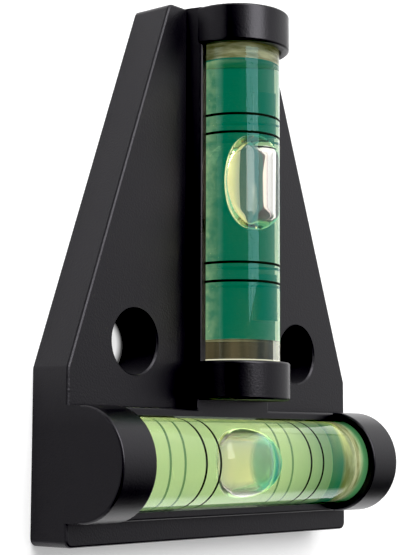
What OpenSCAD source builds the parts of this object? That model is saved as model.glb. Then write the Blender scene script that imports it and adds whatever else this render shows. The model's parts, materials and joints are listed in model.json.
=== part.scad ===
// T-shaped bubble level: one moulded body that carries a cross vial and a stem vial.
// Millimetres. The level lies on its back: X is across, Y runs up the stem, Z is out of the front.
// The origin is the middle of the back.

/* [Plate] */
// Width of the plate at its foot
plate_w = 55.2; // [54:0.2:60]
// Height of the plate from foot to top edge
plate_h = 67.5; // [66:0.1:72]
// Height at which the upright sides start to slope in
knee_h = 20.6; // [19.5:0.1:24]
// Width of the plate at its top edge
top_w = 20.9; // [19.6:0.1:24]
// Thickness of the plate at its rim
plate_t = 5.8; // [5:0.1:6.4]
// Radius of the plate's corners seen from the front
corner_r = 1; // [0.8:0.1:2.2]
// Rounding along the plate's front edge
edge_round = 0.3; // [0.2:0.05:0.6]
// Thickness of the front skin over the hollow back
skin_t = 2; // [1.5:0.1:2.6]
// Thickness of the rim wall around the hollow back
rim_t = 1.8; // [1.4:0.1:2.4]
// Thickness of the stiffening ribs in the hollow back
rib_t = 1.4; // [1:0.1:1.8]

/* [Vial seats] */
// Height of the cross vial's axis above the plate's foot
cross_y = 9.5; // [9.2:0.05:9.8]
// Depth of the cross vial's axis in front of the back
cross_z = 7.9; // [7.6:0.1:8.4]
// Depth of the stem vial's axis in front of the back
stem_z = 8.4; // [8:0.1:8.8]
// Height of the lower stem cap's underside above the plate's foot
stem_low = 17.3; // [17.1:0.1:17.8]
// Gap between a vial and its seat
seat_gap = 0.2; // [0.1:0.05:0.25]
// Wall of the open trough beside a vial
lip_wall = 1; // [0.9:0.05:1.3]
// Height of the trough's lips in front of the back
lip_z = 7.9; // [7.4:0.1:8.2]
// Rounding of the trough's lips
lip_round = 0.35; // [0.1:0.05:0.4]
// Wall of the hooped caps over a vial's ends
cap_wall = 1.05; // [1:0.05:1.4]
// Length of the caps over the cross vial's ends
cross_cap = 5.7; // [5:0.1:6.2]
// Length of the caps over the stem vial's ends
stem_cap = 4.85; // [4.2:0.05:5]
// Wall that closes a cap behind a vial's end
cap_end = 1.65; // [1.4:0.05:2]
// Wall that closes the lower stem cap
low_end = 2.45; // [1.8:0.05:2.6]
// Rounding of the caps' edges
cap_round = 0.35; // [0.2:0.05:0.5]
// Width of the block that joins the stem to the cross trough
neck_w = 14.5; // [13.8:0.1:15.5]
// Amount by which the stem's side walls flare out towards the plate
flare = 0.5; // [0.2:0.1:0.8]
// Radius of the snap ridges that hold a vial from behind
snap_r = 0.7; // [0.5:0.05:0.9]
// Length of a snap ridge
snap_len = 6; // [4:0.5:8]

/* [Screw holes] */
// Distance of each screw hole from the middle line
hole_x = 16.3; // [15:0.1:17]
// Height of the screw holes above the plate's foot
hole_y = 24.1; // [23.5:0.1:26]
// Radius of the screw holes
hole_r = 3.9; // [2.5:0.1:4]
// Bevel around the front of a screw hole
hole_bevel = 0.25; // [0.1:0.05:0.4]
// Wall of the boss around a screw hole
boss_wall = 1.7; // [1.2:0.1:1.8]

/* [Vials] */
// Radius of a vial's acrylic barrel
vial_r = 5.5; // [5.35:0.05:5.6]
// Length of the solid ends of the cross vial
cross_solid = 5.9; // [5:0.1:7]
// Length of the solid ends of the stem vial
stem_solid = 4.95; // [4:0.05:6]
// Radius of the bore at its middle
bore_r = 4.2; // [3.8:0.05:4.3]
// Amount by which the bore narrows towards its ends
bore_sag = 0.15; // [0.1:0.05:0.25]
// Step of the seat that takes the plug
plug_step = 0.4; // [0.3:0.05:0.5]
// Gap around the plug
plug_gap = 0.02; // [0.01:0.01:0.05]

/* [Reading rings] */
// Distance of the inner rings from the cross vial's middle
cross_ring_in = 9.2; // [8.5:0.1:9.8]
// Distance of the outer rings from the cross vial's middle
cross_ring_out = 11.85; // [11:0.05:12.6]
// Distance of the inner rings from the stem vial's middle
stem_ring_in = 8.3; // [7.8:0.1:9]
// Distance of the outer rings from the stem vial's middle
stem_ring_out = 10.65; // [10:0.05:11.4]
// Width of a reading ring
ring_w = 0.35; // [0.3:0.05:0.6]
// Depth of a reading ring in the barrel
ring_d = 0.15; // [0.1:0.05:0.25]
// Gap under and beside a reading ring
ring_gap = 0.01; // [0.01:0.005:0.02]

/* [Bubbles] */
// Half length of the cross vial's bubble
cross_bub = 6.4; // [5.5:0.1:7]
// Half length of the stem vial's bubble
stem_bub = 6.2; // [5.4:0.1:6.6]
// Depth of a bubble
bub_depth = 3.8; // [3:0.1:3.9]
// Rest place of the cross bubble from the vial's middle
cross_rest = -1.7; // [-3:0.1:3]
// Rest place of the stem bubble from the vial's middle
stem_rest = 2.25; // [-3:0.05:3]
// Gap between a bubble and the bore's narrow ends
bub_gap = 0.1; // [0.05:0.05:0.2]
// Gap between a bubble and its hollow in the liquid
film = 0.05; // [0.04:0.01:0.08]

/* [Show] */
// Piece to draw

/* [Hidden] */
$fn = 96;
// Facets of the plate's rounded corners
corner_fn = 40;
// Steps of the bore's bow on each side of its middle
bow_steps = 4;
// Overshoot of cuts
over = 1;
// Gap between a vial's end and its cap
end_gap = 0.15;
// Ends of the stem vial above the plate's foot
stem_from = stem_low + low_end + end_gap;
stem_to = plate_h - cap_end - end_gap;
// Lengths of the vials between their caps, and the stem vial's middle
cross_len = plate_w - 2 * (cap_end + end_gap);
stem_len = stem_to - stem_from;
stem_mid = (stem_from + stem_to) / 2;
// Half lengths of the liquids
cross_fill = cross_len / 2 - cross_solid;
stem_fill = stem_len / 2 - stem_solid;
// Half widths of the seat, the trough and the caps
seat_half = vial_r + seat_gap;
lip_half = seat_half + lip_wall;
cap_half = seat_half + cap_wall;
// Slope of the plate's upper sides
slope_x = (plate_w - top_w) / 2;
slope_y = plate_h - knee_h;
slope_len = sqrt(slope_x * slope_x + slope_y * slope_y);
// Depth of the hollow back
hollow_z = plate_t - skin_t;
// Height of the cross trough's upper wall
cross_top = cross_y + lip_half;
// Radius of the screw bosses
boss_r = hole_r + boss_wall;
// Distance of the snap ridges behind a vial's axis
snap_drop = sqrt(pow(vial_r + snap_r + seat_gap, 2) - pow(seat_half, 2));
// Distance of the snap ridges from a vial's middle
snap_at = 12;
// Radius of the tube that a bubble runs in
bub_r = bore_r - bore_sag - bub_gap;
// Radius of the seat that takes the plug
plug_r = bore_r - bore_sag + plug_step;
acrylic = [0.86, 0.9, 0.86, 0.45];
spirit = [0.2, 0.75, 0.4, 0.6];
air = [0.95, 0.97, 0.8, 0.6];

// Points of the plate's outline, moved in by a distance
function knee_in(d) = [plate_w / 2 - d, knee_h - d * (slope_len - slope_y) / slope_x];
function top_in(d) = [plate_w / 2 - (d * slope_len + (slope_y - d) * slope_x) / slope_y, plate_h - d];
function foot_in(d) = [plate_w / 2 - d, d];
// Radius of the ball that hollows out a bubble of a given half length
function ball_r(half) = (half * half + bub_depth * bub_depth) / (2 * bub_depth);
// Radius of the bore at a share of its half length
function bow_at(share) = bore_r - bore_sag * share * share;

// Moves the drawing from the plate's foot to the middle of the back
module from_foot() {
    translate([0, -plate_h / 2, 0]) children();
}

// Turns a vial's own axis along the cross trough, with its front out of the plate
module on_cross() {
    from_foot() translate([0, cross_y, cross_z]) rotate([0, 0, -90]) rotate([-90, 0, 0]) children();
}

// Turns a vial's own axis up the stem, with its front out of the plate
module on_stem() {
    from_foot() translate([0, stem_mid, stem_z]) rotate([-90, 0, 0]) children();
}

// One corner post of the plate
module corner(at, r, z) {
    translate([at[0], at[1], 0]) cylinder(r = r, h = z, $fn = corner_fn);
    translate([-at[0], at[1], 0]) cylinder(r = r, h = z, $fn = corner_fn);
}

// The solid plate with its rounded front edge
module plate() {
    hull() {
        for (step = [[0, 1], [0.3, 0.3], [1, 0]]) {
            r = corner_r - edge_round * step[0];
            z = plate_t - edge_round * step[1];
            corner(foot_in(corner_r), r, z);
            corner(knee_in(corner_r), r, z);
            corner(top_in(corner_r), r, z);
        }
    }
}

// Outline of one hollow behind the plate
module hollow_outline() {
    polygon([[neck_w / 2, cross_top], [foot_in(rim_t)[0], cross_top], knee_in(rim_t), top_in(rim_t),
        [neck_w / 2, plate_h - rim_t]]);
}

// One hollow behind the plate, with its screw boss and ribs left standing
module hollow() {
    difference() {
        translate([0, 0, -over]) linear_extrude(hollow_z + over) hollow_outline();
        translate([hole_x, hole_y, -over]) cylinder(r = boss_r, h = plate_t + over);
        translate([hole_x - rib_t / 2, hole_y, -over]) cube([rib_t, plate_h, plate_t + over]);
        translate([hole_x, hole_y - rib_t / 2, -over]) cube([plate_w, rib_t, plate_t + over]);
        translate([0, hole_y - rib_t / 2, -over]) cube([hole_x, rib_t, plate_t + over]);
        translate([0, stem_mid + snap_at - rib_t / 2, -over]) cube([plate_w, rib_t, plate_t + over]);
    }
}

// Half of a cap's section with rounded edges, standing on its axis
module cap_half_section(len) {
    square([cap_half - cap_round, len]);
    translate([0, cap_round]) square([cap_half, len - 2 * cap_round]);
    translate([cap_half - cap_round, cap_round]) circle(r = cap_round, $fn = 24);
    translate([cap_half - cap_round, len - cap_round]) circle(r = cap_round, $fn = 24);
}

// A hooped cap along its own axis, with its foot running back to the plate
module cap(len, depth) {
    rotate_extrude() cap_half_section(len);
    rotate([-90, 0, 0]) linear_extrude(depth) {
        rotate(180) cap_half_section(len);
        mirror([1, 0]) rotate(180) cap_half_section(len);
    }
}

// Section of a trough or block with rounded lips, standing on the back and flaring towards the plate
module rail_section(half, spread) {
    polygon([[-half - spread, 0], [half + spread, 0], [half + spread, plate_t], [half, lip_z - lip_round],
        [-half, lip_z - lip_round], [-half - spread, plate_t]]);
    translate([-half + lip_round, 0]) square([2 * (half - lip_round), lip_z]);
    translate([-half + lip_round, lip_z - lip_round]) circle(r = lip_round, $fn = 24);
    translate([half - lip_round, lip_z - lip_round]) circle(r = lip_round, $fn = 24);
}

// A trough or block up the plate between two heights
module rail(half, spread, low, high) {
    translate([0, high, 0]) rotate([90, 0, 0]) linear_extrude(high - low) rail_section(half, spread);
}

// Seat of a vial along its own axis: a slot open at the back under a round roof
module seat(len, depth) {
    cylinder(r = seat_half, h = len + 2 * end_gap, center = true);
    translate([-seat_half, 0, -len / 2 - end_gap]) cube([2 * seat_half, depth + over, len + 2 * end_gap]);
}

// Ridges that snap behind a vial
module snaps() {
    for (side = [-1, 1], at = [-snap_at, snap_at]) {
        translate([side * seat_half, snap_drop, at]) cylinder(r = snap_r, h = snap_len, center = true, $fn = 32);
    }
}

// Screw hole with its bevelled front
module screw_hole() {
    translate([0, 0, -over]) cylinder(r = hole_r, h = plate_t + 2 * over);
    translate([0, 0, plate_t - hole_bevel]) cylinder(r1 = hole_r, r2 = hole_r + 2 * hole_bevel, h = 2 * hole_bevel);
}

// The moulded body before the seats, hollows and holes are cut
module body_blank() {
    from_foot() {
        plate();
        translate([-plate_w / 2, cross_y, 0]) rotate([90, 0, 90]) linear_extrude(plate_w) rail_section(lip_half, 0);
        rail(lip_half, flare, stem_low, plate_h);
        rail(neck_w / 2, 0, cross_y, stem_low);
    }
    on_cross() {
        translate([0, 0, -plate_w / 2]) cap(cross_cap, cross_z);
        translate([0, 0, plate_w / 2 - cross_cap]) cap(cross_cap, cross_z);
    }
    on_stem() {
        translate([0, 0, stem_low - stem_mid]) cap(stem_cap, stem_z);
        translate([0, 0, plate_h - stem_cap - stem_mid]) cap(stem_cap, stem_z);
    }
}

module body() {
    color([0.11, 0.11, 0.12]) {
        difference() {
            body_blank();
            on_cross() seat(cross_len, cross_z);
            on_stem() seat(stem_len, stem_z);
            from_foot() {
                hollow();
                mirror([1, 0, 0]) hollow();
                translate([hole_x, hole_y, 0]) screw_hole();
                translate([-hole_x, hole_y, 0]) screw_hole();
            }
        }
        on_cross() snaps();
        on_stem() snaps();
    }
}

// Barrel-shaped hollow of a vial, drawn in by a gap
module bowed(half, gap) {
    end = half - gap;
    rotate_extrude() polygon(concat([[0, -end]],
        [for (i = [-bow_steps : bow_steps]) [bow_at(i / bow_steps) - gap, i / bow_steps * end]],
        [[0, end]]));
}

// One reading ring's band, drawn in by a gap
module ring_band(at, gap) {
    translate([0, 0, at]) difference() {
        cylinder(r = vial_r, h = ring_w - 2 * gap, center = true);
        cylinder(r = vial_r - ring_d + gap, h = ring_w + over, center = true);
    }
}

// Groove that a reading ring lies in
module ring_groove(at) {
    translate([0, 0, at]) difference() {
        cylinder(r = vial_r + over, h = ring_w, center = true);
        cylinder(r = vial_r - ring_d, h = ring_w + over, center = true);
    }
}

// Clear barrel of a vial, closed at one end and bored from the other
module barrel(len, half, ring_in, ring_out) {
    color(acrylic) difference() {
        cylinder(r = vial_r, h = len, center = true);
        bowed(half, 0);
        translate([0, 0, half]) cylinder(r = plug_r, h = len / 2 - half + over);
        ring_groove(-ring_out);
        ring_groove(-ring_in);
        ring_groove(ring_in);
        ring_groove(ring_out);
    }
}

// Plug that closes a barrel
module plug(len, half) {
    color(acrylic) translate([0, 0, half]) cylinder(r = plug_r - plug_gap, h = len / 2 - half);
}

// Ball that gives a bubble its underside, grown by a gap
module bubble_ball(half, rest, gap) {
    translate([0, bub_depth - bub_r - ball_r(half), rest]) sphere(r = ball_r(half) + gap);
}

// Liquid of a vial around its bubble at rest
module liquid(half, bub, rest) {
    color(spirit) difference() {
        bowed(half, plug_gap);
        bubble_ball(bub, rest, film);
    }
}

// Bubble of a vial
module bubble(half, rest) {
    color(air) intersection() {
        translate([0, 0, rest]) cylinder(r = bub_r, h = 4 * half, center = true);
        bubble_ball(half, rest, 0);
    }
}

// Reading ring of a vial
module ring(at) {
    color([0.05, 0.06, 0.05]) ring_band(at, ring_gap);
}

module cross_barrel() {
    on_cross() barrel(cross_len, cross_fill, cross_ring_in, cross_ring_out);
}

module cross_plug() {
    on_cross() plug(cross_len, cross_fill);
}

module cross_liquid() {
    on_cross() liquid(cross_fill, cross_bub, cross_rest);
}

module cross_bubble() {
    on_cross() bubble(cross_bub, cross_rest);
}

module cross_ring_1() {
    on_cross() ring(-cross_ring_out);
}

module cross_ring_2() {
    on_cross() ring(-cross_ring_in);
}

module cross_ring_3() {
    on_cross() ring(cross_ring_in);
}

module cross_ring_4() {
    on_cross() ring(cross_ring_out);
}

module stem_barrel() {
    on_stem() barrel(stem_len, stem_fill, stem_ring_in, stem_ring_out);
}

module stem_plug() {
    on_stem() plug(stem_len, stem_fill);
}

module stem_liquid() {
    on_stem() liquid(stem_fill, stem_bub, stem_rest);
}

module stem_bubble() {
    on_stem() bubble(stem_bub, stem_rest);
}

module stem_ring_1() {
    on_stem() ring(-stem_ring_out);
}

module stem_ring_2() {
    on_stem() ring(-stem_ring_in);
}

module stem_ring_3() {
    on_stem() ring(stem_ring_in);
}

module stem_ring_4() {
    on_stem() ring(stem_ring_out);
}

body();
cross_barrel();
cross_plug();
cross_liquid();
cross_bubble();
cross_ring_1();
cross_ring_2();
cross_ring_3();
cross_ring_4();
stem_barrel();
stem_plug();
stem_liquid();
stem_bubble();
stem_ring_1();
stem_ring_2();
stem_ring_3();
stem_ring_4();
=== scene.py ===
# %% [markdown]
# A small T-shaped bubble level lies on its back on a pale table. Its black
# moulded body comes from the solids just as it is. The clear vials, the green
# liquid, the bubbles and the reading rings are modelled here once more, because
# clear pieces need smooth walls and rounded edges before light bends well in them.

import json
import math

import bmesh
import bpy
from mathutils import Matrix, Vector


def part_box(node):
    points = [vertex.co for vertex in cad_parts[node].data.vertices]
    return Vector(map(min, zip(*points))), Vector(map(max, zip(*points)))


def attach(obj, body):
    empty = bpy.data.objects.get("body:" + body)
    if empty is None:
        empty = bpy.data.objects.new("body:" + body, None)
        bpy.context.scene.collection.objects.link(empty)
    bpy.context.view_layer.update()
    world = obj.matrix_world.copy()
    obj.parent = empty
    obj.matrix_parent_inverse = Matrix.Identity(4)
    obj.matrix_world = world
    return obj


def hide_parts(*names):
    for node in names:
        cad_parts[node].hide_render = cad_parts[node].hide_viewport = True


MM = 0.001
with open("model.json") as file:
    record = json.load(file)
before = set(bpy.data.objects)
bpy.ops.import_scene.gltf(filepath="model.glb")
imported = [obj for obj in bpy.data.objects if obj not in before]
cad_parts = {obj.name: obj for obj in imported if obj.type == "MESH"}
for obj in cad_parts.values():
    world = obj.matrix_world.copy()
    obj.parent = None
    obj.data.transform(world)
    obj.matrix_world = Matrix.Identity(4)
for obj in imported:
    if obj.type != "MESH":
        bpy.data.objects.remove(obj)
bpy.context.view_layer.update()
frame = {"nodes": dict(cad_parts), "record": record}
scene = bpy.context.scene

# %% [markdown]
# The photograph was taken from the left of the level, about fifty degrees off
# the plate's front, with the stem upright in the picture. A camera fitted to the
# plate's corners, the holes and the caps gives the place and the lens below, so
# the render can be laid over the photograph.

# %% Where the camera looks
CAMERA_AT = Vector((-144.156, -21.952, 124.593)) * MM
YAW, PITCH, ROLL = (math.radians(angle) for angle in (49.647, 6.569, 0.207))

look = Vector((math.sin(YAW) * math.cos(PITCH), math.sin(PITCH), -math.cos(YAW) * math.cos(PITCH)))
level_right = Vector((math.cos(YAW), 0, math.sin(YAW)))
level_up = level_right.cross(look)
right = math.cos(ROLL) * level_right + math.sin(ROLL) * level_up
up = math.cos(ROLL) * level_up - math.sin(ROLL) * level_right
print("the camera looks along:", [round(part, 3) for part in look])

# %% Camera
PICTURE_HEIGHT_PX = 555
FOCUS_PX = 1448.1
SENSOR = 36.0

lens = bpy.data.cameras.new("photo_lens")
lens.sensor_fit = "VERTICAL"
lens.sensor_height = SENSOR
lens.lens = FOCUS_PX * SENSOR / PICTURE_HEIGHT_PX
lens.clip_start = 0.01
camera = bpy.data.objects.new("photo_camera", lens)
camera.matrix_world = Matrix.Translation(CAMERA_AT) @ Matrix((right, up, -look)).transposed().to_4x4()
scene.collection.objects.link(camera)
scene.camera = camera
print("lens in mm:", round(lens.lens, 1))

# %% [markdown]
# A procedural material is a small graph of nodes. These helpers keep each finish
# below short. The first ones start a material with its main shader, and set or
# link the inputs of a node by name. A plain number or colour is set on the socket
# itself, and only what changes over the surface is linked.


# %% Material helpers
def new_finish(name):
    finish = bpy.data.materials.new(name)
    finish.use_nodes = True
    return finish, finish.node_tree, finish.node_tree.nodes["Principled BSDF"]


def put(tree, socket, value):
    if isinstance(value, bpy.types.NodeSocket):
        tree.links.new(value, socket)
    elif socket.type == "RGBA":
        socket.default_value = (*value, 1.0)
    else:
        socket.default_value = value


def set_inputs(tree, node, **values):
    for name, value in values.items():
        put(tree, node.inputs[name.replace("_", " ")], value)


def add_node(tree, kind, **values):
    node = tree.nodes.new(kind)
    set_inputs(tree, node, **values)
    return node


print("materials can be started and filled")

# %% [markdown]
# The next helpers stand for the nodes that most finishes need: the place on the
# piece, noise measured in millimetres, a ramp, one step of arithmetic, a blend of
# two colours, and an attribute, which is a value painted on the piece's own mesh.


# %% Node helpers
def object_place(tree):
    return tree.nodes.new("ShaderNodeTexCoord").outputs["Object"]


def noise(tree, place, size, detail):
    return add_node(tree, "ShaderNodeTexNoise", Vector=place, Scale=1 / size, Detail=detail).outputs["Fac"]


def noise_mm(tree, size_mm, detail):
    return noise(tree, object_place(tree), size_mm * MM, detail)


def ramp(tree, source, low, high, start=0.3, end=0.7):
    ends = {"From_Min": start, "From_Max": end, "To_Min": low, "To_Max": high}
    return add_node(tree, "ShaderNodeMapRange", Value=source, **ends).outputs["Result"]


def maths(tree, kind, first, second=0.0):
    node = tree.nodes.new("ShaderNodeMath")
    node.operation = kind
    put(tree, node.inputs[0], first)
    put(tree, node.inputs[1], second)
    return node.outputs[0]


def mix_colours(tree, share, first, second):
    node = tree.nodes.new("ShaderNodeMix")
    node.data_type = "RGBA"
    put(tree, node.inputs[0], share)
    put(tree, node.inputs[6], first)
    put(tree, node.inputs[7], second)
    return node.outputs[2]


def attribute(tree, name, output="Fac"):
    node = tree.nodes.new("ShaderNodeAttribute")
    node.attribute_name = name
    return node.outputs[output]


NO_LIGHT = (0, 0, 0)
print("nodes can be added by name")

# %% [markdown]
# The body is black plastic from a spark-eroded mould, with a very fine grain that
# breaks up reflections. The plate is matt, the raised caps and lips are a little
# smoother because hands polish them, the side walls are coarser, and the screw
# holes' walls are left rough, so they stay black. A height, a distance and a
# direction, all taken from the piece itself, tell the shader which it is drawing.
# The holes' place and radius come from the part's own record.

# %% Where a point lies on the body
PLATE_TOP = 5.8 * MM
screw_hole = next(mount for mount in frame["record"]["mounts"] if mount["name"] == "screw_hole_right")
HOLE_X, HOLE_Y = screw_hole["pos_m"][:2]
HOLE_RADIUS = screw_hole["dims"]["r_mm"] * MM


def split(tree, vector):
    return add_node(tree, "ShaderNodeSeparateXYZ", Vector=vector).outputs


def distance(tree, sideways, lengthways):
    squares = [maths(tree, "POWER", part, 2.0) for part in (sideways, lengthways)]
    return maths(tree, "SQRT", maths(tree, "ADD", *squares))


def from_hole_axis(tree, spot):
    sideways = maths(tree, "SUBTRACT", maths(tree, "ABSOLUTE", spot["X"]), HOLE_X)
    return distance(tree, sideways, maths(tree, "SUBTRACT", spot["Y"], HOLE_Y))


print("screw holes in mm: x", HOLE_X / MM, "y", HOLE_Y / MM, "radius", round(HOLE_RADIUS / MM, 2))

# %% Satin black plastic
BLACK, WORN_BLACK = (0.0022, 0.0021, 0.0028), (0.004, 0.0037, 0.0048)

black_plastic, tree, shader = new_finish("satin_black_plastic")
blotch = noise_mm(tree, 9.0, 4.0)
set_inputs(
    tree,
    shader,
    Base_Color=mix_colours(tree, ramp(tree, blotch, 0.0, 1.0), BLACK, WORN_BLACK),
    Specular_IOR_Level=0.42,
    Specular_Tint=(0.95, 0.92, 1.0),
)
print("black finish:", black_plastic.name)

# %% How rough the plate, caps, walls and holes are
PLATE_ROUGH, CAP_ROUGH, HOLE_ROUGH = 0.34, 0.30, 1.0
FOOT_WALL_ROUGH, SLOPE_WALL_ROUGH = 0.76, 0.57
FOOT_Y, SLOPE_Y = -20 * MM, -13 * MM

spot = split(tree, object_place(tree))
raised = ramp(tree, spot["Z"], 0.0, 1.0, PLATE_TOP + 0.2 * MM, PLATE_TOP + 1.2 * MM)
front_rough = ramp(tree, raised, PLATE_ROUGH, CAP_ROUGH, 0.0, 1.0)
rough = maths(tree, "ADD", front_rough, ramp(tree, blotch, -0.03, 0.03))
facing = split(tree, tree.nodes.new("ShaderNodeNewGeometry").outputs["Normal"])
on_wall = ramp(tree, maths(tree, "ABSOLUTE", facing["X"]), 0.0, 1.0, 0.80, 0.95)
wall_rough = ramp(tree, spot["Y"], FOOT_WALL_ROUGH, SLOPE_WALL_ROUGH, FOOT_Y, SLOPE_Y)
rough = maths(tree, "MAXIMUM", rough, maths(tree, "MULTIPLY", on_wall, wall_rough))
hole_edge = HOLE_RADIUS + 0.02 * MM, HOLE_RADIUS + 0.10 * MM
rough = maths(tree, "MAXIMUM", rough, ramp(tree, from_hole_axis(tree, spot), HOLE_ROUGH, 0.0, *hole_edge))
set_inputs(tree, shader, Roughness=rough)
print("roughness runs from", CAP_ROUGH, "on the caps to", HOLE_ROUGH, "in the holes")

# %% Mould grain
GRAIN_SIZE_MM = 0.25
GRAIN_DEPTH = 0.034 * MM

grain_bump = add_node(
    tree,
    "ShaderNodeBump",
    Height=noise_mm(tree, GRAIN_SIZE_MM, 2.0),
    Strength=ramp(tree, raised, 0.8, 0.45, 0.0, 1.0),
    Distance=GRAIN_DEPTH,
)
set_inputs(tree, shader, Normal=grain_bump.outputs["Normal"])
body = frame["nodes"]["body"]
body.data.materials.clear()
body.data.materials.append(black_plastic)
print("body dressed in", black_plastic.name)

# %% [markdown]
# Light passes from air into acrylic, from acrylic into liquid and from liquid
# into the bubble. Each border is drawn once: the outer wall bends light as acrylic
# does, the liquid bends it by the small step from acrylic to liquid, and the
# bubble by the large step back to air. The bore and the plug's seat are left fully
# clear, because the liquid and the glue already draw those borders.

# %% Clear acrylic
ACRYLIC_IOR = 1.49
LIQUID_IOR = 1.45
ACRYLIC_TINT = (1.0, 1.0, 0.97)

bore_face, tree, shader = new_finish("wetted_bore")
set_inputs(tree, shader, Base_Color=ACRYLIC_TINT, Alpha=0.0)
acrylic, tree, shader = new_finish("clear_acrylic")
set_inputs(
    tree,
    shader,
    Base_Color=ACRYLIC_TINT,
    Transmission_Weight=1.0,
    IOR=ACRYLIC_IOR,
    Specular_Tint=(0.20, 0.40, 0.48),
    Roughness=ramp(tree, noise_mm(tree, 2.5, 3.0), 0.0, 0.012),
)
print("clear finishes:", acrylic.name, bore_face.name)

# %% [markdown]
# The stem vial's solid end stands in a dark cap. A painted glow stands in for the light that the rod shows
# there: brown bars along the rod, and one painted bright line where the cap begins. An attribute on those
# faces adds it as emission: a half means brown bars and one the bright line.

# %% Painted glow in the solid end
DARK_BAR_GLOW, BROWN_BAR_GLOW = (0.002, 0.002, 0.001), (0.050, 0.041, 0.020)
PAINTED_CAP_LINE = (0.75, 0.74, 0.55)
BAR_WIDTH = 1.4 * MM

stretched = add_node(tree, "ShaderNodeVectorMath", Vector=object_place(tree))
stretched.operation = "MULTIPLY"
stretched.inputs[1].default_value = (1.0, 0.05, 1.0)
bars = noise(tree, stretched.outputs[0], BAR_WIDTH, 1.0)
# Painted glow: brown bars along the rod, then a bright line at the cap.
painted_brown_bars = mix_colours(tree, ramp(tree, bars, 0.0, 1.0, 0.42, 0.60), DARK_BAR_GLOW, BROWN_BAR_GLOW)
painted_end_glow = attribute(tree, "painted_end_glow")
painted_glow = mix_colours(tree, ramp(tree, painted_end_glow, 0.0, 1.0, 0.0, 0.5), NO_LIGHT, painted_brown_bars)
painted_glow = mix_colours(tree, ramp(tree, painted_end_glow, 0.0, 1.0, 0.5, 1.0), painted_glow, PAINTED_CAP_LINE)
set_inputs(tree, shader, Emission_Color=painted_glow, Emission_Strength=1.0)
print("light in the solid end added to", acrylic.name)

# %% [markdown]
# The glue round each plug has yellowed in streaks. Green light from the liquid in the plug is painted on: a
# painted green colour and glow on the plug's inner face, on all of it in the stem vial and on the part
# towards the table in the cross vial, where the painted green also spreads towards the plug's outer end.
# The glue's own colour also gets a faint painted glow. Attributes on the plug give the streaks' place, the
# way to the outer end, the kind of face and how much painted glow it gets.

# %% Yellowed glue, with painted green light and glow
OLD_GLUE, PALE_GLUE = (0.28, 0.28, 0.10), (0.80, 0.80, 0.50)
# Painted green colour and glow that stand in for the liquid's light in the glue.
PAINTED_GREEN_END = (0.16, 0.50, 0.22)
PAINTED_GREEN_GLUE, PAINTED_GREEN_GLUE_LIGHT = (0.02, 0.14, 0.10), (0.02, 0.36, 0.26)

glue_film, tree, shader = new_finish("yellowed_glue")
streak_place = attribute(tree, "streak_place", "Vector")
streak = ramp(tree, noise(tree, streak_place, 1.0, 3.0), 0.0, 1.0, 0.35, 0.65)
glue_stain_and_painted_green = mix_colours(tree, streak, OLD_GLUE, PALE_GLUE)
glue_stain_and_painted_green = mix_colours(tree, ramp(tree, attribute(tree, "painted_green_reach"), 0.0, 1.0, 0.15, 0.36), glue_stain_and_painted_green, PAINTED_GREEN_END)
height = ramp(tree, split(tree, streak_place)["Y"], 0.0, 1.0, -0.15, 0.25)
stain_share = maths(tree, "ADD", height, attribute(tree, "glue_kind"))
# Painted glow: green where the liquid's light is painted, else the glue's own colour.
painted_glow = mix_colours(tree, stain_share, PAINTED_GREEN_GLUE_LIGHT, glue_stain_and_painted_green)
set_inputs(
    tree,
    shader,
    Base_Color=mix_colours(tree, stain_share, PAINTED_GREEN_GLUE, glue_stain_and_painted_green),
    Emission_Color=mix_colours(tree, attribute(tree, "painted_glue_glow"), NO_LIGHT, painted_glow),
    Emission_Strength=0.3,
    Roughness=0.7,
    Specular_IOR_Level=0.0,
    Alpha=0.85,
)
print("glue finish:", glue_film.name)

# %% [markdown]
# The dye takes out blue light, so a lit table seen through the liquid turns yellow
# green. A volume that absorbs light does this, and it deepens by itself where the
# way through the liquid is longer.

# %% Green liquid
DYE = (0.72, 0.755, 0.02)
DYE_DENSITY = 85.0

green_liquid, tree, shader = new_finish("green_liquid")
set_inputs(
    tree,
    shader,
    Base_Color=(1.0, 1.0, 1.0),
    Transmission_Weight=1.0,
    Roughness=0.0,
    IOR=LIQUID_IOR / ACRYLIC_IOR,
)
dye = add_node(tree, "ShaderNodeVolumeAbsorption", Color=DYE, Density=DYE_DENSITY)
tree.links.new(dye.outputs[0], tree.nodes["Material Output"].inputs["Volume"])
print("liquid finish:", green_liquid.name)

# %% [markdown]
# The liquid gets a painted glow, so that it still looks teal in front of a black trough. In the cross vial
# the painted glow is brighter, and stands in for the lit table behind it. The painted glow sits on the wall
# that faces the trough, so it never veils the bubble, and it is kept off the column's flat ends. Along the
# stem vial's left side and the cross vial's side next to the stem, a mottled painted yellow light stands in
# for the light that the trough's lip throws into the liquid. Attributes on the column say where each lies.

# %% Painted glow in the liquid
STEM_PAINTED_GLOW, CROSS_PAINTED_GLOW = (0.0, 0.145, 0.135), (0.155, 0.295, 0.205)
STEM_PAINTED_LIP_LIGHT, CROSS_PAINTED_LIP_LIGHT = (0.22, 0.24, 0.12), (0.46, 0.50, 0.11)

backlit = attribute(tree, "backlit")
glow = mix_colours(tree, backlit, STEM_PAINTED_GLOW, CROSS_PAINTED_GLOW)
glow = mix_colours(tree, attribute(tree, "trough_side"), NO_LIGHT, glow)
# Mottled painted yellow light from the trough's lip.
mottle = ramp(tree, noise_mm(tree, 1.2, 4.0), 0.35, 1.0, 0.35, 0.65)
lip_share = maths(tree, "MULTIPLY", attribute(tree, "lip_side"), mottle)
lip_light = mix_colours(tree, backlit, STEM_PAINTED_LIP_LIGHT, CROSS_PAINTED_LIP_LIGHT)
inner_light = mix_colours(tree, lip_share, glow, lip_light)
set_inputs(tree, shader, Emission_Color=inner_light, Emission_Strength=1.0)
print("glow added to", green_liquid.name)

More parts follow.
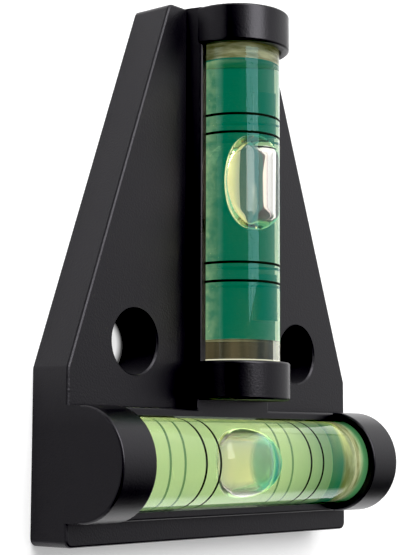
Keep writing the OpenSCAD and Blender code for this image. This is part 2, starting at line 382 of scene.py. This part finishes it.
# %% [markdown]
# The bubble is clear air, so only its border shows, and its light and shade are painted. In the stem a
# painted yellow glow lies on its lower rim, and a very faint painted glow lies elsewhere. In the cross vial
# a faint painted yellow glow lies on its front, and its far end, which looks into deep liquid, is painted
# teal and given a teal glow. A painted shade, a dark teal film that lets less light through, darkens its
# sides. Three attributes on the bubble say where.

# %% Bubble air, with painted light and shade
CLEAR_AIR, PAINTED_TEAL_AIR = (1.0, 0.87, 0.95), (0.36, 0.74, 0.76)
SIDE_PAINTED_SHADE, DEEP_PAINTED_SHADE = (0.12, 0.20, 0.09), (0.03, 0.23, 0.22)
DIM_PAINTED_GLOW, RIM_PAINTED_GLOW, DEEP_PAINTED_GLOW = (0.02, 0.01, 0.02), (0.36, 0.30, 0.05), (0.01, 0.12, 0.10)

bubble_air, tree, shader = new_finish("bubble_air")
deep, painted_shade_share = attribute(tree, "deep_end"), attribute(tree, "painted_film_shade")
clear = mix_colours(tree, deep, CLEAR_AIR, PAINTED_TEAL_AIR)
painted_shade_colour = mix_colours(tree, deep, SIDE_PAINTED_SHADE, DEEP_PAINTED_SHADE)
painted_glow_on_rim = mix_colours(tree, attribute(tree, "painted_rim_glow"), DIM_PAINTED_GLOW, RIM_PAINTED_GLOW)
set_inputs(
    tree,
    shader,
    Base_Color=mix_colours(tree, painted_shade_share, clear, painted_shade_colour),
    # Less light is let through where the painted shade lies.
    Transmission_Weight=ramp(tree, painted_shade_share, 1.0, 0.25, 0.0, 1.0),
    Roughness=0.0,
    IOR=1.0 / LIQUID_IOR,
    Emission_Color=mix_colours(tree, deep, painted_glow_on_rim, DEEP_PAINTED_GLOW),
    Emission_Strength=1.0,
)
print("bubble finish:", bubble_air.name)

# %% [markdown]
# The reading lines are matt black paint, a little thin in places. One noise drives
# both the colour and the roughness, so a thin place is also a duller one.

# %% Reading line
FULL_PAINT, THIN_PAINT = (0.002, 0.003, 0.002), (0.006, 0.009, 0.005)

reading_line, tree, shader = new_finish("black_reading_line")
worn = noise_mm(tree, 0.6, 2.0)
set_inputs(
    tree,
    shader,
    Base_Color=mix_colours(tree, ramp(tree, worn, 0.0, 1.0), FULL_PAINT, THIN_PAINT),
    Roughness=ramp(tree, worn, 0.6, 0.8),
    Specular_IOR_Level=0.1,
)
print("line finish:", reading_line.name)

# %% [markdown]
# All the pieces of a vial but its bubble are turned shapes, so each is modelled
# standing up on the world's Z axis, as on a lathe, and then laid into its trough.
# These helpers start a rod, select faces in edit mode, pull them out or push them in,
# and finish edges.


# %% Modelling helpers
SIDES = 128
EDGE_ROUND = 0.12 * MM


def only(piece):
    bpy.ops.object.select_all(action="DESELECT")
    piece.select_set(True)
    bpy.context.view_layer.objects.active = piece


def named(name):
    piece = bpy.context.active_object
    piece.name = piece.data.name = name
    return piece


def turned_rod(name, radius, length):
    bpy.ops.object.select_all(action="DESELECT")
    bpy.ops.mesh.primitive_cylinder_add(vertices=SIDES, radius=radius, depth=length)
    return named(name)


def pick_faces(piece, wanted):
    mesh = bmesh.from_edit_mesh(piece.data)
    bpy.ops.mesh.select_mode(type="FACE")
    bpy.ops.mesh.select_all(action="DESELECT")
    for face in mesh.faces:
        face.select = wanted(face)
    mesh.select_flush_mode()
    bmesh.update_edit_mesh(piece.data)


def pull(length):
    bpy.ops.mesh.extrude_region_move(TRANSFORM_OT_translate={"value": (0, 0, length)})


def round_edges(piece, width, steps=4):
    only(piece)
    bevel = piece.modifiers.new("rounded_edges", "BEVEL")
    bevel.width = width
    bevel.segments = steps
    bevel.limit_method = "ANGLE"
    bpy.ops.object.modifier_apply(modifier=bevel.name)


def smooth(piece):
    only(piece)
    bpy.ops.object.shade_smooth_by_angle(angle=math.radians(35))


print("turned pieces have", SIDES, "sides")

# %% [markdown]
# The solids say how long and how thick each piece is and where it lies. A vial is
# measured once, and then it can lay a piece into its own trough: the piece's Z
# becomes the vial's length, and its Y points to the level's front.


# %% Vials, measured from the solids
class Vial:
    """Where one vial lies and how large its parts are, read from its solids."""

    def __init__(self, name, along):
        self.name = name
        self.along = Vector(along)
        low, high = (Vector(corner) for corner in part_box(name + "_barrel"))
        self.middle = (low + high) / 2
        self.length = (high - low).dot(self.along)
        self.radius = (high.z - low.z) / 2
        low, high = (Vector(corner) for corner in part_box(name + "_liquid"))
        self.fill = (high - low).dot(self.along)
        self.bore = max((high - low).cross(self.along)) / 2
        low, high = (Vector(corner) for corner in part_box(name + "_plug"))
        self.plug_radius = (high.z - low.z) / 2
        self.plug_length = (high - low).dot(self.along)
        self.solid_end = self.length - self.plug_length - self.fill

    def lay(self, piece):
        side = Vector((0, 0, 1)).cross(self.along)
        turn = Matrix((side, Vector((0, 0, 1)), self.along)).transposed().to_4x4()
        piece.data.transform(Matrix.Translation(self.middle) @ turn)
        piece.data.update()


cross = Vial("cross", (1, 0, 0))
stem = Vial("stem", (0, 1, 0))
for vial in (cross, stem):
    lengths = {"length": vial.length, "bore": vial.bore, "fill": vial.fill}
    print(vial.name, {name: round(length / MM, 2) for name, length in lengths.items()})

# %% [markdown]
# A finished piece is laid into its vial, stands for its solid and rides on the
# level, or on the bubble's own body. Its attributes are values painted on its mesh,
# one for each face or for each corner. They are looked up by name each time, because
# Blender may move the ones that are there when it adds another. Many of them fade
# from full at one place to nothing at another.


# %% Finishing helpers
def finish_piece(piece, vial, node, body, finish):
    vial.lay(piece)
    if not piece.data.materials:
        piece.data.materials.append(finish)
    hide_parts(node)
    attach(piece, body)


def new_marks(piece, place, *names):
    for name in names:
        piece.data.attributes.new(name, "FLOAT", place)


def mark(piece, name, part, value):
    piece.data.attributes[name].data[part.index].value = value


def fade(value, full_at, none_at):
    return min(1.0, max(0.0, (none_at - value) / (none_at - full_at)))


print("pieces can be finished and marked")

# %% [markdown]
# A barrel starts as a short rod, the part of its solid end that is sunk in a cap. It is pulled out in steps
# to its full length, so that the painted bright line at the cap and the painted brown glow of the solid end
# get faces of their own. The open end is then inset and pushed in twice, once for the plug's seat and once
# for the long bore, and the edges are rounded as those of polished acrylic are.

# %% Barrels
SUNK = {"cross": 3.9 * MM, "stem": 2.25 * MM}
CAP_LINE_WIDTH = 0.2 * MM
GLUE_GAP = 0.02 * MM


def make_barrel(vial):
    sunk = SUNK[vial.name]
    rod = turned_rod(vial.name + "_vial_barrel", vial.radius, sunk)
    rod.location.z = (sunk - vial.length) / 2
    bpy.ops.object.transform_apply(location=True)
    bpy.ops.object.mode_set(mode="EDIT")
    pick_faces(rod, lambda face: face.normal.z > 0.9)
    pull(CAP_LINE_WIDTH)
    pull(vial.solid_end - sunk - CAP_LINE_WIDTH)
    pull(vial.length - vial.solid_end)
    bpy.ops.mesh.inset(thickness=vial.radius - vial.plug_radius - GLUE_GAP)
    pull(-vial.plug_length)
    bpy.ops.mesh.inset(thickness=vial.plug_radius - vial.bore)
    pull(-vial.fill)
    bpy.ops.object.mode_set(mode="OBJECT")
    round_edges(rod, EDGE_ROUND)
    smooth(rod)
    return rod


barrels = {vial.name: make_barrel(vial) for vial in (cross, stem)}
print({name: len(rod.data.polygons) for name, rod in barrels.items()}, "faces")

# %% [markdown]
# The barrel's inner faces get the fully clear finish, and the outer faces of the stem's solid end are
# marked, so that the painted brown glow shows there.

# %% Barrels dressed
SKIN = 0.05 * MM


def clear_bore(rod, vial):
    rod.data.materials.append(acrylic)
    rod.data.materials.append(bore_face)
    inner = vial.plug_radius + EDGE_ROUND
    for face in rod.data.polygons:
        reach = max(math.hypot(*rod.data.vertices[v].co.xy) for v in face.vertices)
        in_bore = reach < inner and face.center.z > MM - vial.length / 2
        face.material_index = 1 if in_bore else 0


def paint_solid_end_glow(rod, vial):
    new_marks(rod, "FACE", "painted_end_glow")
    sunk = SUNK[vial.name]
    for face in rod.data.polygons:
        from_end = face.center.z + vial.length / 2
        outside = math.hypot(*face.center.xy) > vial.radius - SKIN
        if vial is stem and outside and sunk < from_end < vial.solid_end:
            mark(rod, "painted_end_glow", face, 1.0 if from_end < sunk + CAP_LINE_WIDTH else 0.5)


for vial in (cross, stem):
    barrel = barrels[vial.name]
    clear_bore(barrel, vial)
    paint_solid_end_glow(barrel, vial)
    finish_piece(barrel, vial, vial.name + "_barrel", "level", acrylic)
    print(barrel.name)

# %% [markdown]
# The plug is a short disc glued into the barrel's open end. Its rim is rounded,
# so that a faint ring shows where the glue line ends. Its outer end is clear, and
# all else wears the glue.

# %% Plugs
PLUG_ROUND = 0.15 * MM
PLUG_END = 0.2 * MM


def make_plug(vial):
    disc = turned_rod(vial.name + "_vial_plug", vial.plug_radius, vial.plug_length)
    round_edges(disc, PLUG_ROUND)
    smooth(disc)
    disc.data.materials.append(glue_film)
    disc.data.materials.append(acrylic)
    for face in disc.data.polygons:
        face.material_index = 1 if face.center.z > vial.plug_length / 2 - PLUG_END else 0
    return disc


plugs = {vial.name: make_plug(vial) for vial in (cross, stem)}
print({name: len(disc.data.polygons) for name, disc in plugs.items()}, "faces")

# %% [markdown]
# The plug's attributes place the glue's streaks, which run round the disc, and in the cross vial how far
# the painted green reaches towards the outer end. They tell its side wall from its inner face and say how
# much painted glow each of them gets.

# %% Glue on the plugs, with painted glow
STREAK_SHAPE = Vector((0.3, 0.3, 1.6))
SIDE_PAINTED_GLUE_GLOW = 0.3


def place_streaks(disc, vial):
    new_marks(disc, "POINT", "painted_green_reach")
    streak_place = disc.data.attributes.new("streak_place", "FLOAT_VECTOR", "POINT")
    for corner in disc.data.vertices:
        streak_place.data[corner.index].vector = corner.co * STREAK_SHAPE / MM
        if vial is cross:
            mark(disc, "painted_green_reach", corner, corner.co.z / vial.plug_length + 0.5)


def paint_glue_glow(disc, vial):
    new_marks(disc, "FACE", "glue_kind", "painted_glue_glow")
    inner_kind = 0.0 if vial is cross else -1.0
    for face in disc.data.polygons:
        inner_face = face.normal.z < -0.5
        mark(disc, "glue_kind", face, inner_kind if inner_face else 1.0)
        mark(disc, "painted_glue_glow", face, 1.0 if vial is cross or inner_face else SIDE_PAINTED_GLUE_GLOW)


for vial in (cross, stem):
    plug = plugs[vial.name]
    place_streaks(plug, vial)
    paint_glue_glow(plug, vial)
    plug.data.transform(Matrix.Translation((0, 0, (vial.length - vial.plug_length) / 2)))
    finish_piece(plug, vial, vial.name + "_plug", "level", glue_film)
    print(plug.name)

# %% [markdown]
# The liquid fills the bore, which bows out by a hair in its middle so that the
# bubble comes to rest there. A disc is pulled up step by step, and widened at
# each step, to give that bow.

# %% Liquid
BOW = 0.15 * MM
BOW_STEPS = 10


def bore_radius(vial, share):
    return vial.bore - BOW * (2 * share - 1) ** 2


def make_liquid(vial):
    bpy.ops.object.select_all(action="DESELECT")
    foot = {"radius": bore_radius(vial, 0), "location": (0, 0, -vial.fill / 2)}
    bpy.ops.mesh.primitive_circle_add(vertices=SIDES, fill_type="NGON", **foot)
    column = named(vial.name + "_green_liquid")
    bpy.ops.object.transform_apply(location=True)
    bpy.ops.object.mode_set(mode="EDIT")
    bpy.ops.mesh.select_all(action="SELECT")
    for step in range(BOW_STEPS):
        pull(vial.fill / BOW_STEPS)
        grow = bore_radius(vial, (step + 1) / BOW_STEPS) / bore_radius(vial, step / BOW_STEPS)
        bpy.ops.transform.resize(value=(grow, grow, 1), center_override=(0, 0, 0))
    bpy.ops.mesh.select_all(action="SELECT")
    bpy.ops.mesh.normals_make_consistent(inside=False)
    bpy.ops.object.mode_set(mode="OBJECT")
    round_edges(column, EDGE_ROUND)
    smooth(column)
    return column


columns = {vial.name: make_liquid(vial) for vial in (cross, stem)}
print({name: len(column.data.polygons) for name, column in columns.items()}, "faces")

# %% [markdown]
# The column's attributes mark the wall that faces the trough, where the painted glow sits. They mark the
# vial with the bright table behind it, whose painted glow is brighter, and the side next to the trough's
# lip, which gets painted yellow light. Angles are measured round the column: the lip's painted light fades
# out as the wall rises towards the front.

# %% Painted light in the liquid
SHADED_AT = {"cross": 0.0, "stem": -35.0}
SHADED_REACH = 80.0
WALL_TILT = 0.3
LIP_FADE = {"cross": (4.0, 16.0), "stem": (-20.0, 16.0)}
CROSS_LIP_FOOT = -30.0


def paint_wall_glow(column, vial):
    new_marks(column, "FACE", "trough_side", "backlit")
    for face in column.data.polygons:
        turned = math.degrees(math.atan2(face.center.x, -face.center.y)) - SHADED_AT[vial.name]
        shaded = abs(face.normal.z) < WALL_TILT and abs(turned) < SHADED_REACH
        mark(column, "trough_side", face, 1.0 if shaded else 0.0)
        mark(column, "backlit", face, 1.0 if vial is cross else 0.0)


def paint_lip_light(column, vial):
    new_marks(column, "POINT", "lip_side")
    for corner in column.data.vertices:
        rise = math.degrees(math.atan2(corner.co.y, abs(corner.co.x)))
        if corner.co.x > 0 and (vial is stem or rise > CROSS_LIP_FOOT):
            mark(column, "lip_side", corner, fade(rise, *LIP_FADE[vial.name]))


for vial in (cross, stem):
    liquid = columns[vial.name]
    paint_wall_glow(liquid, vial)
    paint_lip_light(liquid, vial)
    finish_piece(liquid, vial, vial.name + "_liquid", "level", green_liquid)
    print(liquid.name)

# %% [markdown]
# A bubble is a flattened drop pressed against the front of the bore: long, rounded
# at its ends, with its front following the bore. A ball is filled out a little at its
# corners, squashed to the bubble's length, width and depth, and its front is then
# pressed into the bore.

# %% Bubbles
FULL_ACROSS = {"cross": 2.1, "stem": 2.6}
FULL_ALONG = 2.1
SPREAD = {"cross": 0.91, "stem": 1.0}
BUBBLE_GAP = 0.06 * MM
BORE_SHARE = 0.99
HALF_DEPTH, MIDDLE_BELOW_TOP = 0.56, 0.47


class BubbleSize:
    """Where one bubble lies in its vial and how large it is, read from its solid."""

    def __init__(self, vial):
        low, high = (Vector(corner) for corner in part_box(vial.name + "_bubble"))
        size = high - low
        self.length = size.dot(vial.along)
        self.width = (size - self.length * vial.along).xy.length
        self.depth = size.z
        self.at = ((low + high) / 2 - vial.middle).dot(vial.along)
        self.height = high.z - vial.middle.z - MIDDLE_BELOW_TOP * self.depth


def fill_out(drop, full):
    for corner in drop.data.vertices:
        across = (abs(corner.co.x) ** full + abs(corner.co.y) ** full) ** (FULL_ALONG / full)
        corner.co /= (across + abs(corner.co.z) ** FULL_ALONG) ** (1 / FULL_ALONG)


def press_into(drop, tube):
    for corner in drop.data.vertices:
        reach = math.hypot(corner.co.x, corner.co.y)
        if reach > tube:
            corner.co.x *= tube / reach
            corner.co.y *= tube / reach


def make_bubble(vial, size):
    tube = vial.bore - BOW - BUBBLE_GAP
    bpy.ops.object.select_all(action="DESELECT")
    bpy.ops.mesh.primitive_uv_sphere_add(segments=96, ring_count=64, radius=1.0)
    drop = named(vial.name + "_air_bubble")
    fill_out(drop, FULL_ACROSS[vial.name])
    half_width = SPREAD[vial.name] * min(size.width / 2, BORE_SHARE * tube)
    drop.scale = (half_width, HALF_DEPTH * size.depth, size.length / 2)
    drop.location = (0, size.height, size.at)
    bpy.ops.object.transform_apply(location=True, scale=True)
    press_into(drop, tube)
    smooth(drop)
    return drop


sizes = {vial.name: BubbleSize(vial) for vial in (cross, stem)}
bubbles = {vial.name: make_bubble(vial, sizes[vial.name]) for vial in (cross, stem)}
for name, drop in bubbles.items():
    print(name, "bubble in mm:", [round(length / MM, 2) for length in drop.dimensions])

# %% [markdown]
# The bubbles' attributes are measured as angles round the drop and as shares of its length. In the stem the
# painted yellow glow sits low on the left side. In the cross vial it sits on the front, away from the ends.
# The painted shade there is broad but thin on the sides, denser on the one next to the stem, and it is
# dense in a narrow line at the widest place and at the far end, where the painted teal also lies.

# %% Painted light and shade on the bubbles
RIM_AT, RIM_REACH = -50.0, 40.0
FAR_END, AWAY_FROM_ENDS = (0.32, 0.24), (0.36, 0.46)
BROAD_PAINTED_SHADE, NARROW_PAINTED_SHADE = (10.0, 30.0), (6.0, 14.0)
STEM_SIDE_PAINTED_SHADE, FOOT_SIDE_PAINTED_SHADE, END_PAINTED_SHADE = 0.5, 0.2, 0.8
FRONT_SIDE = (45.0, 15.0)
FRONT_PAINTED_GLOW = 0.25


def light_stem_bubble(drop, size):
    for corner in drop.data.vertices:
        rise = math.degrees(math.atan2(corner.co.y - size.height, corner.co.x))
        mark(drop, "painted_rim_glow", corner, fade(abs(rise - RIM_AT), 0.0, RIM_REACH))


def light_cross_bubble(drop, size):
    for corner in drop.data.vertices:
        rise = math.degrees(math.atan2(corner.co.y - size.height, abs(corner.co.x)))
        along = (corner.co.z - size.at) / size.length
        far_end = fade(along, *FAR_END)
        shade_on_this_side = STEM_SIDE_PAINTED_SHADE if corner.co.x > 0 else FOOT_SIDE_PAINTED_SHADE
        broad = shade_on_this_side * fade(abs(rise), *BROAD_PAINTED_SHADE)
        narrow = fade(abs(rise), *NARROW_PAINTED_SHADE)
        painted_glow_on_rim = fade(abs(along), *AWAY_FROM_ENDS) * fade(rise, *FRONT_SIDE)
        mark(drop, "deep_end", corner, far_end)
        mark(drop, "painted_film_shade", corner, max(broad, narrow, END_PAINTED_SHADE * far_end))
        mark(drop, "painted_rim_glow", corner, FRONT_PAINTED_GLOW * painted_glow_on_rim)


for vial in (cross, stem):
    bubble = bubbles[vial.name]
    new_marks(bubble, "POINT", "painted_rim_glow", "deep_end", "painted_film_shade")
    light = light_cross_bubble if vial is cross else light_stem_bubble
    light(bubble, sizes[vial.name])
    finish_piece(bubble, vial, vial.name + "_bubble", vial.name + "_air", bubble_air)
    print(bubble.name)

# %% [markdown]
# Each reading ring is a band of black paint wiped into a groove, level with the
# barrel's wall. A short tube is given a wall and rounded corners, and it stands a
# hair proud so that the line stays crisp.

# %% Reading rings
PAINT_PROUD = 0.004 * MM
PAINT_DEPTH = 0.14 * MM
PAINT_ROUND = 0.03 * MM


def make_ring(vial, number):
    node = "%s_ring_%d" % (vial.name, number)
    low, high = (Vector(corner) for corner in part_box(node))
    tube = {"radius": vial.radius + PAINT_PROUD, "depth": (high - low).dot(vial.along)}
    bpy.ops.object.select_all(action="DESELECT")
    bpy.ops.mesh.primitive_cylinder_add(vertices=SIDES, end_fill_type="NOTHING", **tube)
    band = named(node + "_line")
    wall = band.modifiers.new("paint_depth", "SOLIDIFY")
    wall.thickness = PAINT_DEPTH
    wall.offset = -1
    bpy.ops.object.modifier_apply(modifier=wall.name)
    round_edges(band, PAINT_ROUND, 2)
    smooth(band)
    at = ((low + high) / 2 - vial.middle).dot(vial.along)
    band.data.transform(Matrix.Translation((0, 0, at)))
    finish_piece(band, vial, node, "level", reading_line)
    return band


for vial in (cross, stem):
    print([make_ring(vial, number).name for number in (1, 2, 3, 4)])

# %% [markdown]
# The level lies on a plain white table, one large sheet that is slightly uneven in tone. A painted pool of
# light on it fades with distance into painted grey shade, more slowly to the right, which keeps the plate's
# reflections dark.

# %% White table with a painted pool of light
PAPER, PALE_PAPER, PAINTED_FAR_SHADE = (0.87, 0.87, 0.87), (0.89, 0.89, 0.89), (0.5, 0.5, 0.5)
POOL_START, POOL_END = 0.085, 0.17
RIGHTWARD_SHARE = 0.35

white_table, tree, shader = new_finish("white_table")
set_inputs(tree, shader, Roughness=0.8, Specular_IOR_Level=0.1)
spot = split(tree, object_place(tree))
rightwards = maths(tree, "MULTIPLY", maths(tree, "MAXIMUM", spot["X"], 0.0), RIGHTWARD_SHARE)
leftwards = maths(tree, "MINIMUM", spot["X"], 0.0)
reach = distance(tree, maths(tree, "ADD", rightwards, leftwards), spot["Y"])
# Beyond the painted pool of light the paper is painted grey.
beyond_pool = ramp(tree, reach, 0.0, 1.0, POOL_START, POOL_END)
paper = mix_colours(tree, ramp(tree, noise_mm(tree, 60.0, 2.0), 0.0, 1.0), PAPER, PALE_PAPER)
print("table finish:", white_table.name)

# %% [markdown]
# Shade is painted on the table round the screw holes and under the cross vial, most of all at the vial's
# right end, where the body covers it. Masks worked out from the holes' and the vial's own places darken the
# paper there as a painted shadow.

# %% Painted shade under the level
HOLE_SHADE, VIAL_SHADE = (0.12, 0.12, 0.12), (0.12, 0.16, 0.15)
OPEN_SHARE = 0.38
COVER_STARTS, COVER_FULL = 12 * MM, 24 * MM
SHADE_LENGTH = 25 * MM, 27 * MM
SHADE_WIDTH = 5 * MM, 7 * MM

off_axis = from_hole_axis(tree, spot)
by_hole = ramp(tree, off_axis, 1.0, 0.0, HOLE_RADIUS, HOLE_RADIUS + 2 * MM)
paper = mix_colours(tree, by_hole, paper, HOLE_SHADE)
towards_end = ramp(tree, spot["X"], OPEN_SHARE, 1.0, COVER_STARTS, COVER_FULL)
in_length = ramp(tree, maths(tree, "ABSOLUTE", spot["X"]), 1.0, 0.0, *SHADE_LENGTH)
beside = maths(tree, "ABSOLUTE", maths(tree, "SUBTRACT", spot["Y"], cross.middle.y))
in_width = ramp(tree, beside, 1.0, 0.0, *SHADE_WIDTH)
covered = maths(tree, "MULTIPLY", maths(tree, "MULTIPLY", towards_end, in_length), in_width)
paper = mix_colours(tree, covered, paper, VIAL_SHADE)
set_inputs(tree, shader, Base_Color=mix_colours(tree, beyond_pool, paper, PAINTED_FAR_SHADE))
print("shade under the vial at y in mm:", round(cross.middle.y / MM, 2))

# %% [markdown]
# The table glows a little, a painted light that keeps it white up to the level's edge. The glow is left out
# in the ring round each hole and under the vial, which paints shade there, and it fades with the painted
# pool of light. In the middle of each hole it is stronger, a painted patch of light where the table is seen
# through it.

# %% Floor with a painted glow
TABLE_PAINTED_GLOW, HOLE_PAINTED_GLOW = 0.33, 0.75
TABLE_SIZE = 4.0
TABLE_GAP = 0.02 * MM

# Painted glow, left out round each hole and stronger in each hole's middle.
outside = ramp(tree, off_axis, 0.0, TABLE_PAINTED_GLOW, HOLE_RADIUS + 0.5 * MM, HOLE_RADIUS + 2 * MM)
inside = ramp(tree, off_axis, HOLE_PAINTED_GLOW, 0.0, HOLE_RADIUS - 1.2 * MM, HOLE_RADIUS - 0.2 * MM)
lit = maths(tree, "ADD", outside, inside)
for dark in (beyond_pool, covered):
    lit = maths(tree, "MULTIPLY", lit, maths(tree, "SUBTRACT", 1.0, dark))
set_inputs(tree, shader, Emission_Color=mix_colours(tree, lit, NO_LIGHT, (1, 1, 1)), Emission_Strength=1.0)

bpy.ops.object.select_all(action="DESELECT")
bpy.ops.mesh.primitive_plane_add(size=TABLE_SIZE, location=(0, 0, -TABLE_GAP))
floor = bpy.context.active_object
floor.name = "table"
floor.data.materials.append(white_table)
print("stage:", floor.name)

# %% [markdown]
# One soft box hangs over the level, beyond the stem's top. It lights the table white
# and leaves a soft streak along each round form.

# %% Soft box
BOX_AT, BOX_AIM = Vector((-0.10, 0.34, 0.50)), Vector((-0.06, 0, 0))

lamp = bpy.data.lights.new("top_strip_box", "AREA")
lamp.shape = "RECTANGLE"
lamp.size, lamp.size_y = 0.34, 0.64
lamp.energy = 3.8
soft_box = bpy.data.objects.new("top_strip_box", lamp)
soft_box.location = BOX_AT
soft_box.rotation_euler = (BOX_AIM - BOX_AT).to_track_quat("-Z", "Y").to_euler()
scene.collection.objects.link(soft_box)
print("soft box in watts:", lamp.energy)

# %% [markdown]
# The room is brightest behind the stem's top and on the right, and dim on the
# camera's side, so that the plate stays dark and each cap shades off towards its
# lower side.

# %% Room
BRIGHT_SIDE = (0.52, 0.74, 0.43)
DIM_ROOM, BRIGHT_ROOM = 0.09, 1.2

room = bpy.data.worlds.new("studio_room")
room.use_nodes = True
tree = room.node_tree
way = tree.nodes.new("ShaderNodeTexCoord").outputs["Generated"]
bright_side = add_node(tree, "ShaderNodeVectorMath", Vector=way)
bright_side.operation = "DOT_PRODUCT"
bright_side.inputs[1].default_value = BRIGHT_SIDE
strength = ramp(tree, bright_side.outputs["Value"], DIM_ROOM, BRIGHT_ROOM, 0.2, 0.9)
set_inputs(tree, tree.nodes["Background"], Color=(1, 1, 1), Strength=strength)
scene.world = room
print("room:", room.name)

# %% [markdown]
# Light crosses many clear borders in a vial, so paths may bend often before they
# end. The picture keeps plain colours, with its darkest tones pulled to black.

# %% Picture settings
BLACK_LEVEL = 0.010

scene.view_settings.view_transform = "Standard"
scene.view_settings.use_curve_mapping = True
scene.view_settings.curve_mapping.black_level = (BLACK_LEVEL, BLACK_LEVEL, BLACK_LEVEL)
scene.view_settings.curve_mapping.update()
scene.cycles.use_denoising = True
scene.cycles.max_bounces = 24
scene.cycles.transmission_bounces = 20
scene.cycles.transparent_max_bounces = 32
scene.cycles.sample_clamp_indirect = 6.0
print("bounces:", scene.cycles.max_bounces)
